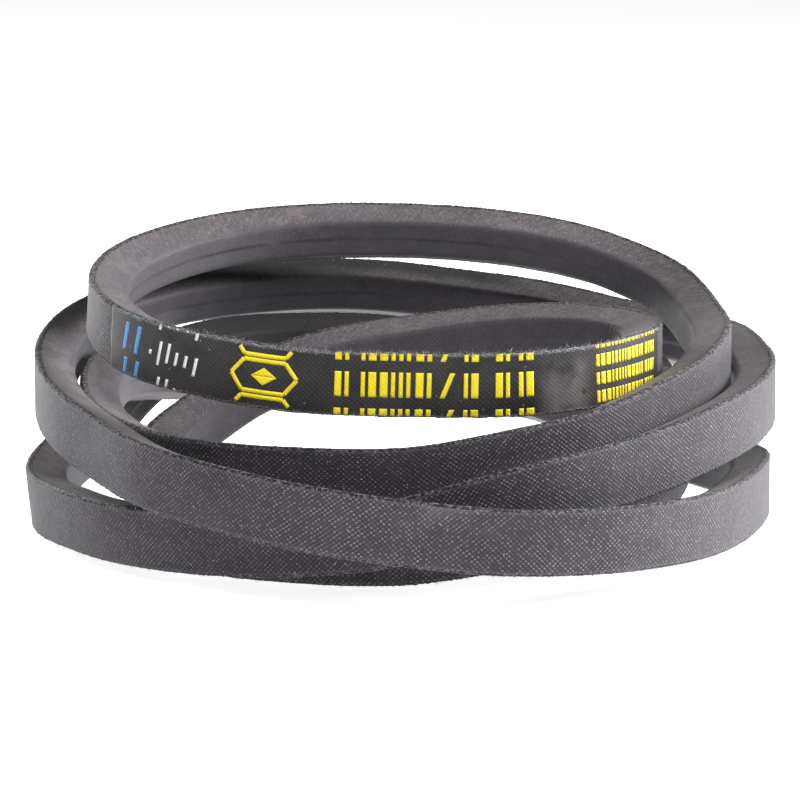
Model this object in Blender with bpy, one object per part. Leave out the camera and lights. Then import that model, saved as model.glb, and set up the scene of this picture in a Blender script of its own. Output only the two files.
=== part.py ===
"""A wrapped V-belt of classical section A, coiled in five turns and standing on its edge.

The belt is one endless loop. Its route is a smooth closed curve through the points of ROUTE,
and every layer of the belt is a section swept along that curve, from the fabric cover to the
tension cord. Lengths are in millimetres until the meshes are made, +Z is up, and the origin is
on the resting plane, under the middle of the coil.
"""

import math

import bpy
import numpy as np

# Section: ISO 4184 section A, width and depth of the wedge, and the angle between its flanks.
TOP_WIDTH = 13.0
BELT_DEPTH = 8.0
WEDGE_ANGLE = math.radians(40)

# Layers, each as (nearest, farthest) depth under the outer face. The spaces between them, and
# the gap at the flanks, keep the faceted solids apart where the belt turns and climbs at once.
COVER_THICKNESS = 0.6
FLANK_GAP = 0.35
TENSION_RUBBER_DEPTHS = (0.8, 1.95)
CORD_DEPTHS = (2.25, 3.25)
ADHESION_RUBBER_DEPTHS = (3.6, 4.4)
COMPRESSION_RUBBER_DEPTHS = (4.6, 7.2)
CORD_COUNT = 6
CORD_WIDTH = 1.0
CORD_PITCH = 1.5
LAP_SLIT = 0.4

# Printed transfer film on the outer face of the innermost front run.
LABEL_STANDOFF = 0.05
LABEL_THICKNESS = 0.12
LABEL_MARGIN = 0.25
LABEL_FIRST_POINT = 1.5
LABEL_LAST_POINT = 8.5

STATIONS = 190

# Points of the outer face's middle line, as (x, y, height of its lower edge), in belt order.
# All five turns run anticlockwise seen from above, each from its left end round the front.
ROUTE = (
    # Turn 1: the top left end, the labelled run across the front, a tight bend at the right,
    # then back across the inside of the coil and down to a tight bend at the left.
    (-63, 6, 38), (-60.5, -11, 36.5), (-51, -30.5, 33.8), (-37.5, -41.5, 31.7),
    (-19.5, -48, 29.7), (0, -49, 29), (19.5, -46.5, 28.6), (38.5, -37, 29.2),
    (48.5, -22.5, 29.8), (52, -10, 29.8), (50, 2.5, 30.4), (40, 11.5, 31),
    (20.5, 18.5, 30), (0, 19.5, 27.5), (-20.5, 15.5, 23.8), (-32.5, 10, 19.2),
    (-44, 1, 13), (-51.2, -10, 8.2), (-52.2, -23.5, 3.8), (-50, -38, 0.9),
    # Turn 2: along the floor at the front, up inside the right end, under the back of the
    # coil, and down outside the left end.
    (-42, -51, 0.1), (-30.5, -61, 0.1), (-14.5, -67.7, 0.1), (2, -69, 0.3),
    (16, -66, 1.7), (35.5, -55, 3.8), (50, -38, 7.4), (57, -18.5, 11.4),
    (57.5, 0, 15.4), (55.5, 17, 18.2), (52, 33, 20.9), (45.5, 46.5, 22.7),
    (36.5, 58.9, 22.8), (25, 67.7, 20.6), (13, 74.5, 19.4), (-1, 78.2, 20.3),
    (-14.5, 76.8, 21.2), (-27, 71.6, 21.7), (-42, 60.4, 21.5), (-56.5, 46.5, 16.4),
    (-67, 33, 6.5), (-72.5, 16, 2.8),
    # Turn 3: the lowest left end, inside the front run of turn 4, up to the right end and
    # round the back, under the top ring.
    (-74.3, -6, 0.6), (-67.2, -31, 0.7), (-56, -51.5, 1.0), (-45.5, -62.3, 1.4),
    (-34, -70.3, 2.1), (-18, -77.8, 3.5), (0, -80.3, 6), (9, -79.5, 8.2),
    (27.5, -73.5, 12.2), (47, -57.5, 14.9), (63, -37.5, 18.2), (72, -17, 20),
    (75.7, 3.5, 21.2), (75.8, 22, 21.3), (75, 40, 21.5), (71, 58, 22),
    (61, 71.5, 22.6), (50, 79, 23.8), (34, 85, 26.9), (13.5, 88, 29.6),
    (-4, 87, 31.7), (-29.5, 80, 32.7), (-52, 63, 31.7), (-68, 38.5, 28.5),
    # Turn 4: the upper left end, down across the front as the nearest run, the lowest right
    # end, then inwards under turn 2 and up inside the left end.
    (-73.5, 12, 24.6), (-72.7, -6, 22.2), (-66.8, -29.5, 19), (-58, -48, 16.3),
    (-48.5, -66, 14.4), (-37.5, -77.8, 12.9), (-18, -89.5, 10.3), (0, -92, 8),
    (18, -90.5, 6), (36.5, -82, 4.7), (52, -67, 3.8), (65, -43, 3.1),
    (72.5, -15, 2.9), (74.5, 2.5, 2.3), (71.5, 21, 1.5), (62, 35.5, 2.3),
    (52, 43.5, 5), (41.5, 48, 8.9), (32, 51.3, 12.7), (18.5, 57, 14.2),
    (3, 58.3, 15.2), (-13.5, 58.6, 16.2), (-30, 54, 17.4), (-44, 45.3, 18.9),
    # Turn 5: over the floor run at the front, up the right end and round the back as the
    # top ring, which closes on the start of turn 1.
    (-56, 33, 20.4), (-63, 17, 20.3), (-64.2, 0, 17.8), (-61, -20, 15.6),
    (-52.6, -38.5, 14), (-42, -53, 13.5), (-29.5, -62.5, 13.5), (-14.5, -67.7, 13.6),
    (3.5, -69, 14.1), (18, -65, 16), (38, -52.5, 18.8), (50, -38.5, 21.7),
    (60.5, -20, 24.7), (66.3, 1, 27.4), (67.3, 17, 27.9), (66.2, 35, 29.2),
    (64, 50, 31.6), (59.5, 60.5, 34.5), (52.5, 68, 37.1), (43.3, 73, 40),
    (21.5, 77.5, 43.9), (0, 79, 45.2), (-21.5, 76, 45.2), (-42.5, 63.5, 44),
    (-57, 44, 41.6), (-62.7, 24.5, 39.7),
)

# How far the upper edge leans outwards, in degrees, at each ROUTE index: the lowest left end
# outwards, and the back of the top ring inwards.
LEAN = {
    0: -3, 41: 3, 42: 6, 43: 11, 44: 13, 45: 10, 46: 5, 47: 1,
    59: -2, 60: -5, 61: -6, 62: -6, 63: -8, 64: -7, 65: -3,
    106: -2, 107: -4, 108: -6, 109: -8, 110: -9, 111: -9, 112: -9, 113: -9, 114: -9,
    115: -9, 116: -8, 117: -6,
}

MM = 0.001


def clear_scene():
    for obj in list(bpy.data.objects):
        bpy.data.objects.remove(obj, do_unlink=True)


def periodic_spline(knots, values):
    """Second derivatives at the knots of the smooth closed cubic through the values."""
    step = np.diff(knots)
    count = len(step)
    before = np.roll(step, 1)
    slope = (np.roll(values[:-1], -1, axis=0) - values[:-1]) / step[:, None]
    matrix = np.zeros((count, count))
    for i in range(count):
        matrix[i, i] = 2 * (before[i] + step[i])
        matrix[i, i - 1] += before[i]
        matrix[i, (i + 1) % count] += step[i]
    bend = np.linalg.solve(matrix, 6 * (slope - np.roll(slope, 1, axis=0)))
    return np.vstack([bend, bend[:1]])


def spline_at(knots, values, bend, where):
    """Positions on the closed cubic at the parameters in where."""
    index = np.clip(np.searchsorted(knots, where, side="right") - 1, 0, len(knots) - 2)
    step = (knots[index + 1] - knots[index])[:, None]
    after = (where - knots[index])[:, None] / step
    ahead = 1 - after
    curve = (ahead**3 - ahead) * bend[index] + (after**3 - after) * bend[index + 1]
    return ahead * values[index] + after * values[index + 1] + curve * step**2 / 6


def route_values():
    """Rows of x, y, z and lean at the ROUTE points, closed on the first, and their knots."""
    rows = [(x, y, low + TOP_WIDTH / 2, LEAN.get(i, 0)) for i, (x, y, low) in enumerate(ROUTE)]
    values = np.array(rows + rows[:1], float)
    chords = np.linalg.norm(np.diff(values[:, :3], axis=0), axis=1)
    return np.concatenate([[0], np.cumsum(chords)]), values


def belt_frames(count):
    """Evenly spaced stations: place, width direction and outward direction at each.

    The last value is each station's position counted in ROUTE points.
    """
    knots, values = route_values()
    bend = periodic_spline(knots, values)
    fine = np.linspace(0, knots[-1], 20 * count + 1)
    dense = spline_at(knots, values, bend, fine)
    run = np.concatenate([[0], np.cumsum(np.linalg.norm(np.diff(dense[:, :3], axis=0), axis=1))])
    where = np.interp(np.arange(count) * run[-1] / count, run, fine)
    rows = spline_at(knots, values, bend, where)
    small = knots[-1] / (40 * count)
    ahead = spline_at(knots, values, bend, (where + small) % knots[-1])[:, :3]
    behind = spline_at(knots, values, bend, (where - small) % knots[-1])[:, :3]
    along = (ahead - behind) / np.linalg.norm(ahead - behind, axis=1)[:, None]
    up = np.array([0, 0, 1.0]) - along[:, 2:3] * along
    up /= np.linalg.norm(up, axis=1)[:, None]
    out = np.cross(along, up)
    lean = np.radians(rows[:, 3:4])
    width = up * np.cos(lean) + out * np.sin(lean)
    out = out * np.cos(lean) - up * np.sin(lean)
    return rows[:, :3], width, out, np.interp(where, knots, np.arange(len(knots)))


def half_width(depth):
    """Half the wedge's width at a depth under the outer face."""
    return TOP_WIDTH / 2 - depth * math.tan(WEDGE_ANGLE / 2)


def inner_half_width(depth):
    """Half the width left inside the cover at a depth."""
    return half_width(depth) - COVER_THICKNESS / math.cos(WEDGE_ANGLE / 2)


def layer_section(depths):
    """Four corners of a rubber layer, as (outward, width) coordinates."""
    near, far = depths
    wide = inner_half_width(near) - FLANK_GAP
    narrow = inner_half_width(far) - FLANK_GAP
    return [(-near, wide), (-near, -wide), (-far, -narrow), (-far, narrow)]


def cord_section(place):
    """A square cord centred at this place across the belt's width."""
    near, far = CORD_DEPTHS
    half = CORD_WIDTH / 2
    return [(-near, place + half), (-near, place - half), (-far, place - half), (-far, place + half)]


def cover_section():
    """The jacket: a closed skin round the wedge, parted by a narrow slit at its lap."""
    inside = COVER_THICKNESS
    deep = BELT_DEPTH - COVER_THICKNESS
    slit = LAP_SLIT / 2
    top, base = half_width(0), half_width(BELT_DEPTH)
    top_inside, base_inside = inner_half_width(inside), inner_half_width(deep)
    return [
        (0, top), (0, -top), (-BELT_DEPTH, -base), (-BELT_DEPTH, -slit),
        (-deep, -slit), (-deep, -base_inside), (-inside, -top_inside), (-inside, top_inside),
        (-deep, base_inside), (-deep, slit), (-BELT_DEPTH, slit), (-BELT_DEPTH, base),
    ]


def label_section():
    """The thin film that lies just over the outer face."""
    half = half_width(0) - LABEL_MARGIN
    low = LABEL_STANDOFF
    high = LABEL_STANDOFF + LABEL_THICKNESS
    return [(high, half), (high, -half), (low, -half), (low, half)]


def strip_faces(section, row, next_row):
    """Two triangles for each side of the section between two stations.

    The diagonal leaves the point farther out, or higher at equal depth, so faces that are
    parallel in the section bend alike and the gap between two layers stays even.
    """
    faces = []
    count = len(section)
    for j in range(count):
        k = (j + 1) % count
        if section[j] > section[k]:
            faces += [(row + j, row + k, next_row + k), (row + j, next_row + k, next_row + j)]
        else:
            faces += [(row + j, row + k, next_row + j), (row + k, next_row + k, next_row + j)]
    return faces


def swept_solid(name, section, frames, closed):
    """One closed mesh: the section carried along the frames, capped where it isn't a loop."""
    places, width, out = frames
    points = [place + o * a + w * b for place, w, o in zip(places, width, out) for a, b in section]
    count = len(section)
    rows = len(places)
    faces = []
    for i in range(rows if closed else rows - 1):
        faces += strip_faces(section, i * count, ((i + 1) % rows) * count)
    if not closed:
        last = (rows - 1) * count
        faces.append(tuple(reversed(range(count))))
        faces.append(tuple(range(last, last + count)))
    mesh = bpy.data.meshes.new(name)
    mesh.from_pydata([tuple(point * MM) for point in points], [], faces)
    mesh.update()
    return bpy.data.objects.new(name, mesh)


def material(name, colour, roughness):
    made = bpy.data.materials.new(name)
    made.use_nodes = True
    shader = made.node_tree.nodes["Principled BSDF"]
    shader.inputs["Base Color"].default_value = (*colour, 1)
    shader.inputs["Roughness"].default_value = roughness
    shader.inputs["Metallic"].default_value = 0
    return made


def resting_shift(frames):
    """The move that puts the origin under the middle of the coil, on its resting plane."""
    places, width, out = frames
    section = cover_section()
    corners = np.vstack([places + out * a + width * b for a, b in section])
    low, high = corners.min(axis=0), corners.max(axis=0)
    return np.array([-(low[0] + high[0]) / 2, -(low[1] + high[1]) / 2, -low[2]])


def build():
    clear_scene()
    belt = bpy.data.collections.new("v_belt")
    bpy.context.scene.collection.children.link(belt)
    places, width, out, position = belt_frames(STATIONS)
    places = places + resting_shift((places, width, out))
    loop = (places, width, out)
    labelled = (position >= LABEL_FIRST_POINT) & (position <= LABEL_LAST_POINT)
    label_run = tuple(values[labelled] for values in loop)

    fabric = material("cover_fabric", (0.035, 0.034, 0.04), 0.75)
    rubber = material("black_rubber", (0.02, 0.02, 0.02), 0.6)
    cushion = material("adhesion_rubber", (0.05, 0.045, 0.04), 0.55)
    cord = material("polyester_cord", (0.75, 0.7, 0.6), 0.8)
    film = material("label_film", (0.015, 0.015, 0.018), 0.4)

    pieces = [
        (swept_solid("cover_fabric", cover_section(), loop, True), fabric),
        (swept_solid("tension_rubber", layer_section(TENSION_RUBBER_DEPTHS), loop, True), rubber),
        (swept_solid("adhesion_rubber", layer_section(ADHESION_RUBBER_DEPTHS), loop, True), cushion),
        (swept_solid("compression_rubber", layer_section(COMPRESSION_RUBBER_DEPTHS), loop, True), rubber),
        (swept_solid("label_film", label_section(), label_run, False), film),
    ]
    for number in range(CORD_COUNT):
        place = (number - (CORD_COUNT - 1) / 2) * CORD_PITCH
        name = f"tension_cord_{number + 1}"
        pieces.append((swept_solid(name, cord_section(place), loop, True), cord))
    for obj, finish in pieces:
        obj.data.materials.append(finish)
        belt.objects.link(obj)


build()
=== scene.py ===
"""Looks of a wrapped V-belt, coiled in five turns and standing on its edge on a pale floor.

The cover is swept again along the frame's own route, finely enough to carry its rounded
corners, the crumbs and fibres along its worn edges, the lap of its fabric and the creases of
its tight bends. Lengths are in millimetres until the meshes are made.
"""

import math

import bpy
import numpy as np
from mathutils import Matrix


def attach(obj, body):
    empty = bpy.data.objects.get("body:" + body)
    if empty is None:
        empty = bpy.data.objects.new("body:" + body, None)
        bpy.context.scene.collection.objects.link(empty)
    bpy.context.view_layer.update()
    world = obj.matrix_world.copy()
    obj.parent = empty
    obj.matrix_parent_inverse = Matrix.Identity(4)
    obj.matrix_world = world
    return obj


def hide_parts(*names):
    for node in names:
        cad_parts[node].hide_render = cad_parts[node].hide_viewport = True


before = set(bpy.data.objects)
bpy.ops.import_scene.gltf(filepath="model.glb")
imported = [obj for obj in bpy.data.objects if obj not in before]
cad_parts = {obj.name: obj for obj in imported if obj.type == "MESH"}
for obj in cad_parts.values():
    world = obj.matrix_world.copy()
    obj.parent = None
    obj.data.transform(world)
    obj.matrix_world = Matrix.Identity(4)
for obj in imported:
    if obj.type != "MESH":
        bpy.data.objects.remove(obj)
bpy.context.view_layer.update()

MM = 0.001
SEED = 11

# Section of the belt, as in the frame.
TOP_WIDTH = 13.0
BELT_DEPTH = 8.0
FLANK_SLOPE = math.tan(math.radians(20))
CAD_STATIONS = 190

# Points of the outer face's middle line, as (x, y, height of its lower edge), in belt order.
ROUTE = (
    (-63, 6, 38), (-60.5, -11, 36.5), (-51, -30.5, 33.8), (-37.5, -41.5, 31.7),
    (-19.5, -48, 29.7), (0, -49, 29), (19.5, -46.5, 28.6), (38.5, -37, 29.2),
    (48.5, -22.5, 29.8), (52, -10, 29.8), (50, 2.5, 30.4), (40, 11.5, 31),
    (20.5, 18.5, 30), (0, 19.5, 27.5), (-20.5, 15.5, 23.8), (-32.5, 10, 19.2),
    (-44, 1, 13), (-51.2, -10, 8.2), (-52.2, -23.5, 3.8), (-50, -38, 0.9),
    (-42, -51, 0.1), (-30.5, -61, 0.1), (-14.5, -67.7, 0.1), (2, -69, 0.3),
    (16, -66, 1.7), (35.5, -55, 3.8), (50, -38, 7.4), (57, -18.5, 11.4),
    (57.5, 0, 15.4), (55.5, 17, 18.2), (52, 33, 20.9), (45.5, 46.5, 22.7),
    (36.5, 58.9, 22.8), (25, 67.7, 20.6), (13, 74.5, 19.4), (-1, 78.2, 20.3),
    (-14.5, 76.8, 21.2), (-27, 71.6, 21.7), (-42, 60.4, 21.5), (-56.5, 46.5, 16.4),
    (-67, 33, 6.5), (-72.5, 16, 2.8),
    (-74.3, -6, 0.6), (-67.2, -31, 0.7), (-56, -51.5, 1.0), (-45.5, -62.3, 1.4),
    (-34, -70.3, 2.1), (-18, -77.8, 3.5), (0, -80.3, 6), (9, -79.5, 8.2),
    (27.5, -73.5, 12.2), (47, -57.5, 14.9), (63, -37.5, 18.2), (72, -17, 20),
    (75.7, 3.5, 21.2), (75.8, 22, 21.3), (75, 40, 21.5), (71, 58, 22),
    (61, 71.5, 22.6), (50, 79, 23.8), (34, 85, 26.9), (13.5, 88, 29.6),
    (-4, 87, 31.7), (-29.5, 80, 32.7), (-52, 63, 31.7), (-68, 38.5, 28.5),
    (-73.5, 12, 24.6), (-72.7, -6, 22.2), (-66.8, -29.5, 19), (-58, -48, 16.3),
    (-48.5, -66, 14.4), (-37.5, -77.8, 12.9), (-18, -89.5, 10.3), (0, -92, 8),
    (18, -90.5, 6), (36.5, -82, 4.7), (52, -67, 3.8), (65, -43, 3.1),
    (72.5, -15, 2.9), (74.5, 2.5, 2.3), (71.5, 21, 1.5), (62, 35.5, 2.3),
    (52, 43.5, 5), (41.5, 48, 8.9), (32, 51.3, 12.7), (18.5, 57, 14.2),
    (3, 58.3, 15.2), (-13.5, 58.6, 16.2), (-30, 54, 17.4), (-44, 45.3, 18.9),
    (-56, 33, 20.4), (-63, 17, 20.3), (-64.2, 0, 17.8), (-61, -20, 15.6),
    (-52.6, -38.5, 14), (-42, -53, 13.5), (-29.5, -62.5, 13.5), (-14.5, -67.7, 13.6),
    (3.5, -69, 14.1), (18, -65, 16), (38, -52.5, 18.8), (50, -38.5, 21.7),
    (60.5, -20, 24.7), (66.3, 1, 27.4), (67.3, 17, 27.9), (66.2, 35, 29.2),
    (64, 50, 31.6), (59.5, 60.5, 34.5), (52.5, 68, 37.1), (43.3, 73, 40),
    (21.5, 77.5, 43.9), (0, 79, 45.2), (-21.5, 76, 45.2), (-42.5, 63.5, 44),
    (-57, 44, 41.6), (-62.7, 24.5, 39.7),
)
# How far the upper edge leans outwards, in degrees, at each ROUTE index.
LEAN = {
    0: -3, 41: 3, 42: 6, 43: 11, 44: 13, 45: 10, 46: 5, 47: 1,
    59: -2, 60: -5, 61: -6, 62: -6, 63: -8, 64: -7, 65: -3,
    106: -2, 107: -4, 108: -6, 109: -8, 110: -9, 111: -9, 112: -9, 113: -9, 114: -9,
    115: -9, 116: -8, 117: -6,
}

# Torn fibres on the outer edges: how many along the whole belt and how many more along the
# label, their size, and how pale the first are beside the second.
FIBRES = 4600
LABEL_FIBRES = 1500
FIBRE_LENGTH = (0.25, 0.95)
FIBRE_THICKNESS = (0.05, 0.1)
FIBRE_RINGS = 4
FIBRE_ROOT = 0.06
COVER_FIBRE_SHADE = 0.4

# Pitch of the cover's weave along and across the belt, and of the creases in its tight bends.
WEAVE_ALONG = 1.07
WEAVE_ACROSS = 0.92
CREASE_PITCH = 2.3

# Screen colours of the worn cover and of the film, at their darkest and palest.
COVER_DARK = (33, 29, 34)
COVER_PALE = (50, 45, 52)
FILM_DARK = (27, 24, 25)
FILM_PALE = (41, 38, 38)

# How finely the visible belt is swept: stations along it, in equal turns, the route's steps to
# each station when its length is measured, and the stations each way that a bend is read over.
TURNS = 5
TURN_STATIONS = 1330
FINE_STEPS = 20
BEND_REACH = 8

# The section's rounded corners, and its points: round each corner, and along each side.
OUTER_CORNER_RADIUS = 0.75
INNER_CORNER_RADIUS = 1.1
OUTER_CORNER_POINTS = 7
INNER_CORNER_POINTS = 4
SIDE_POINTS = (12, 9, 8, 9, 12)

# How far across the section the noise tables reach, which is more than the way round it.
NOISE_SPAN = 60

# The fabric's lap stands this proud along the middle of the inner face.
LAP_HEIGHT = 0.08
LAP_GAP = 0.03

# Stretches, by distance, darkened as painted shade: one on the flanks and inner face, down in the
# slot under other turns at the back, and one whose flanks lie close under the topmost turn; and how softly
# each ends.
PAINTED_SHADE_SLOT = (557.0, 690.0)
PAINTED_SHADE_FLANKS = (1078.0, 1223.0)
PAINTED_SHADE_FADE = 12.0

# The printed film, by distance along the outer face's middle line.
FILM_START = 29.5
FILM_END = 161.0
FILM_HALF_WIDTH = 6.15
FILM_LIFT = 0.03
FILM_THICKNESS = 0.12
FILM_STEP = 0.4
FILM_COLUMNS = 29
INK_THICKNESS = 0.03
INK_SINK = 0.02
INK_HALF_WIDTH = 6.0

# The print: pitches of its rows up the film, its finest step, and the white bars as (start
# along the belt, lower end, upper end).
ROW_PITCH = 7.0
SMALL_PITCH = 3.55
PRINT_STEP = 0.45
WHITE_BARS = (
    (43.2, -0.4, 0.5), (45.4, -2.2, 2.6), (47.7, -1.4, 2.6),
    (49.9, -1.4, 1.2), (52.2, -1.4, 1.0), (54.4, -2.6, 1.0),
)

# The studio: the camera's angle, its distance in metres, its lens and the height it looks at,
# the even light, and the floor's half size and its drop under the belt, both in metres.
CAMERA_ELEVATION = math.radians(8.2)
CAMERA_DISTANCE = 0.88
CAMERA_LENS = 197.2
AIM_HEIGHT = 25.6
WORLD_LIGHT = 0.06
FLOOR_GLOW = 0.85
FLOOR_HALF = 6.0
FLOOR_DROP = 0.0003


# ---------------------------------------- the route


def periodic_spline(knots, values):
    """Second derivatives at the knots of the smooth closed cubic through the values."""
    step = np.diff(knots)
    count = len(step)
    before = np.roll(step, 1)
    slope = (np.roll(values[:-1], -1, axis=0) - values[:-1]) / step[:, None]
    matrix = np.zeros((count, count))
    for i in range(count):
        matrix[i, i] = 2 * (before[i] + step[i])
        matrix[i, i - 1] += before[i]
        matrix[i, (i + 1) % count] += step[i]
    bend = np.linalg.solve(matrix, 6 * (slope - np.roll(slope, 1, axis=0)))
    return np.vstack([bend, bend[:1]])


def spline_at(knots, values, bend, where):
    """Positions on the closed cubic at the parameters in where."""
    index = np.clip(np.searchsorted(knots, where, side="right") - 1, 0, len(knots) - 2)
    step = (knots[index + 1] - knots[index])[:, None]
    after = (where - knots[index])[:, None] / step
    ahead = 1 - after
    curve = (ahead**3 - ahead) * bend[index] + (after**3 - after) * bend[index + 1]
    return ahead * values[index] + after * values[index + 1] + curve * step**2 / 6


def belt_frames(count):
    """Evenly spaced stations: place, width direction and outward direction, and the length."""
    rows = [(x, y, low + TOP_WIDTH / 2, LEAN.get(i, 0)) for i, (x, y, low) in enumerate(ROUTE)]
    values = np.array(rows + rows[:1], float)
    chords = np.linalg.norm(np.diff(values[:, :3], axis=0), axis=1)
    knots = np.concatenate([[0], np.cumsum(chords)])
    bend = periodic_spline(knots, values)
    fine = np.linspace(0, knots[-1], FINE_STEPS * count + 1)
    dense = spline_at(knots, values, bend, fine)
    run = np.concatenate([[0], np.cumsum(np.linalg.norm(np.diff(dense[:, :3], axis=0), axis=1))])
    distance = np.arange(count) * run[-1] / count
    where = np.interp(distance, run, fine)
    rows = spline_at(knots, values, bend, where)
    small = knots[-1] / (2 * FINE_STEPS * count)
    ahead = spline_at(knots, values, bend, (where + small) % knots[-1])[:, :3]
    behind = spline_at(knots, values, bend, (where - small) % knots[-1])[:, :3]
    along = (ahead - behind) / np.linalg.norm(ahead - behind, axis=1)[:, None]
    up = np.array([0, 0, 1.0]) - along[:, 2:3] * along
    up /= np.linalg.norm(up, axis=1)[:, None]
    out = np.cross(along, up)
    lean = np.radians(rows[:, 3:4])
    width = up * np.cos(lean) + out * np.sin(lean)
    out = out * np.cos(lean) - up * np.sin(lean)
    return rows[:, :3], width, out, run[-1]


def half_width(depth):
    return TOP_WIDTH / 2 - depth * FLANK_SLOPE


def resting_shift():
    """The move that puts the origin under the middle of the CAD coil, on its resting plane."""
    places, width, out, _ = belt_frames(CAD_STATIONS)
    corners = [(0, 1), (0, -1), (BELT_DEPTH, 1), (BELT_DEPTH, -1)]
    points = np.vstack([places - out * d + width * side * half_width(d) for d, side in corners])
    low, high = points.min(axis=0), points.max(axis=0)
    return np.array([-(low[0] + high[0]) / 2, -(low[1] + high[1]) / 2, -low[2]])


SHIFT = resting_shift()
PLACES, WIDTH, OUT, LENGTH = belt_frames(TURNS * TURN_STATIONS)
PLACES = PLACES + SHIFT


def on_outer_face(s, w, height):
    """Points at the distances s and widths w, standing proud of the outer face by height."""
    place = np.asarray(s, float) / LENGTH * len(PLACES)
    index = np.floor(place).astype(int)
    after = (place - index)[..., None]
    i, j = index % len(PLACES), (index + 1) % len(PLACES)

    def between(rows):
        return rows[i] * (1 - after) + rows[j] * after

    return between(PLACES) + between(WIDTH) * w[..., None] + between(OUT) * height[..., None]


def curvature():
    """How sharply the belt turns at each station, in 1/mm, smoothed over a few millimetres."""
    ahead, behind = np.roll(OUT, -BEND_REACH, axis=0), np.roll(OUT, BEND_REACH, axis=0)
    turn = np.linalg.norm(ahead - behind, axis=1)
    return turn / (2 * BEND_REACH * LENGTH / len(OUT))


BEND = curvature()


# ---------------------------------------- noise


def smooth(low, high, value):
    t = np.clip((value - low) / (high - low), 0, 1)
    return t * t * (3 - 2 * t)


def rumple(s, v, pitch_s, pitch_v, seed):
    """Smooth noise from -1 to 1 on the belt's surface, which closes on itself along the belt."""
    count_s = max(2, round(LENGTH / pitch_s))
    count_v = max(2, math.ceil(NOISE_SPAN / pitch_v))
    table = np.random.default_rng(SEED + seed).uniform(-1, 1, (count_s, count_v))
    a = np.asarray(s, float) / LENGTH * count_s
    b = (np.asarray(v, float) + NOISE_SPAN / 2) / pitch_v
    i, j = np.floor(a).astype(int), np.floor(b).astype(int)
    fa, fb = a - i, b - j
    fa, fb = fa * fa * (3 - 2 * fa), fb * fb * (3 - 2 * fb)
    i0, i1 = i % count_s, (i + 1) % count_s
    j0, j1 = j % count_v, (j + 1) % count_v
    near = table[i0, j0] * (1 - fb) + table[i0, j1] * fb
    far = table[i1, j0] * (1 - fb) + table[i1, j1] * fb
    return near * (1 - fa) + far * fa


# ---------------------------------------- the section


def corner_arc(corner, before, after, radius, count):
    """Points of a rounded corner with their outward normals, from one side to the next."""
    corner, before, after = (np.array(p, float) for p in (corner, before, after))
    a = (before - corner) / np.linalg.norm(before - corner)
    b = (after - corner) / np.linalg.norm(after - corner)
    half = math.acos(float(a @ b)) / 2
    centre = corner + (a + b) / np.linalg.norm(a + b) * radius / math.sin(half)
    start = corner + a * radius / math.tan(half) - centre
    end = corner + b * radius / math.tan(half) - centre
    first, last = math.atan2(start[1], start[0]), math.atan2(end[1], end[0])
    sweep = (last - first + math.pi) % (2 * math.pi) - math.pi
    angles = first + sweep * np.linspace(0, 1, count)
    normals = np.stack([np.cos(angles), np.sin(angles)], axis=1)
    return centre + radius * normals, normals


def section_points():
    """The rounded wedge as (outward, width) points with normals and distance round it.

    It starts in the middle of the outer face and runs over the lower edge, the lower flank,
    the inner face and the upper flank. Distance is signed, with zero at the start.
    """
    top, base = half_width(0), half_width(BELT_DEPTH)
    corners = [(0, -top), (-BELT_DEPTH, -base), (-BELT_DEPTH, base), (0, top)]
    outer_round = (OUTER_CORNER_RADIUS, OUTER_CORNER_POINTS)
    inner_round = (INNER_CORNER_RADIUS, INNER_CORNER_POINTS)
    arcs = []
    for i, rounding in enumerate((outer_round, inner_round, inner_round, outer_round)):
        before, after = corners[i - 1], corners[(i + 1) % 4]
        arcs.append(corner_arc(corners[i], before, after, *rounding))
    middle = np.array([0.0, 0.0])
    points, normals = [], []
    start = middle
    for i, inner in enumerate(SIDE_POINTS):
        stop = arcs[i][0][0] if i < 4 else middle
        edge = stop - start
        length = np.linalg.norm(edge)
        normal = np.array([-edge[1], edge[0]]) / length
        shares = np.arange(0 if i == 0 else 1, inner + 1) / (inner + 1)
        if i == 2:
            # The inner face has two columns close together in its middle, one each side of the lap.
            gap = LAP_GAP / length
            first = np.linspace(0, 0.5 - gap, inner // 2 + 2)[1:]
            shares = np.concatenate([first, 1 - first[::-1]])
        for share in shares:
            points.append(start + edge * share)
            normals.append(normal)
        if i < 4:
            points.extend(arcs[i][0])
            normals.extend(arcs[i][1])
            start = arcs[i][0][-1]
    points, normals = np.array(points), np.array(normals)
    steps = np.linalg.norm(np.diff(np.vstack([points, points[:1]]), axis=0), axis=1)
    walk = np.concatenate([[0], np.cumsum(steps)[:-1]])
    total = steps.sum()
    signed = np.where(walk > total / 2, walk - total, walk)
    return points, normals, -signed


SECTION, NORMALS, AROUND = section_points()


def zones():
    """For each section point: how far it is outer face, outer corner, inner face."""
    depth = -SECTION[:, 0]
    outer = 1 - smooth(0.15, 0.9, depth)
    inner = smooth(BELT_DEPTH - 1.0, BELT_DEPTH - 0.2, depth)
    reach = np.hypot(SECTION[:, 0], np.abs(SECTION[:, 1]) - TOP_WIDTH / 2)
    corner = 1 - smooth(0.45, 1.35, reach)
    return outer, corner, inner


OUTER, CORNER, INNER = zones()


def lap():
    """How far the overlapping edge of the fabric lifts each section point of the inner face."""
    half = half_width(BELT_DEPTH)
    over = (SECTION[:, 1] > 0) & (SECTION[:, 0] < -BELT_DEPTH + 0.01)
    return np.where(over, LAP_HEIGHT * (1 - np.abs(SECTION[:, 1]) / half), 0)


LAP = lap()
FULL_ROUND = 2 * np.abs(AROUND).max()


def whole(pitch):
    """The pitch nearest to this one that goes into the belt's length a whole number of times."""
    return LENGTH / round(LENGTH / pitch)


def face_noise(s, v):
    """The gentle unevenness of the whole cover, in millimetres."""
    return 0.05 * rumple(s, v, 13, 6, 1) + 0.025 * rumple(s, v, 3.1, 2.6, 2)


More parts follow.
